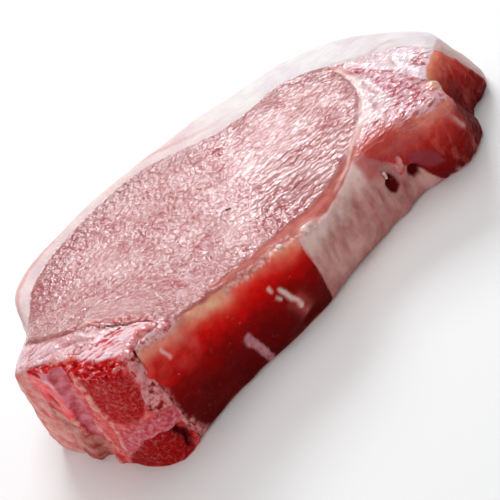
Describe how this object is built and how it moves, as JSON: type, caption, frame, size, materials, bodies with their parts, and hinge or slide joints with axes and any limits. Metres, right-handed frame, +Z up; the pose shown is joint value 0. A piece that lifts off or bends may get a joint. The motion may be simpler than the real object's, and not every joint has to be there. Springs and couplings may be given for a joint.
{
  "type": "raw pork chop",
  "caption": "Thick raw pork loin chop with its sawn backbone, rim of fat and thin tail, lying on its lower cut face.",
  "frame": {"origin": "on the floor, under the middle of the chop's bounding box", "axes": "+X from the sawn backbone to the thin tail, +Y from the rib side to the fat along the back, +Z up from the lower cut face"},
  "size_m": [0.1714, 0.0876, 0.0422],
  "materials": {
    "lean": "wet, pale pink raw lean with a fine grain",
    "dark_lean": "wet, red raw lean",
    "fat": "moist, off-white fat with a pink cast",
    "bone": "wet, dark red sawn bone with grainy marrow"
  },
  "bodies": {
    "root": {"loin_eye": "lean", "chine_muscle": "lean", "tail_muscle": "dark_lean", "cap_muscle": "dark_lean", "fat_cap": "fat", "seam_fat": "fat", "chine_bone": "bone"}
  },
  "joints": []
}
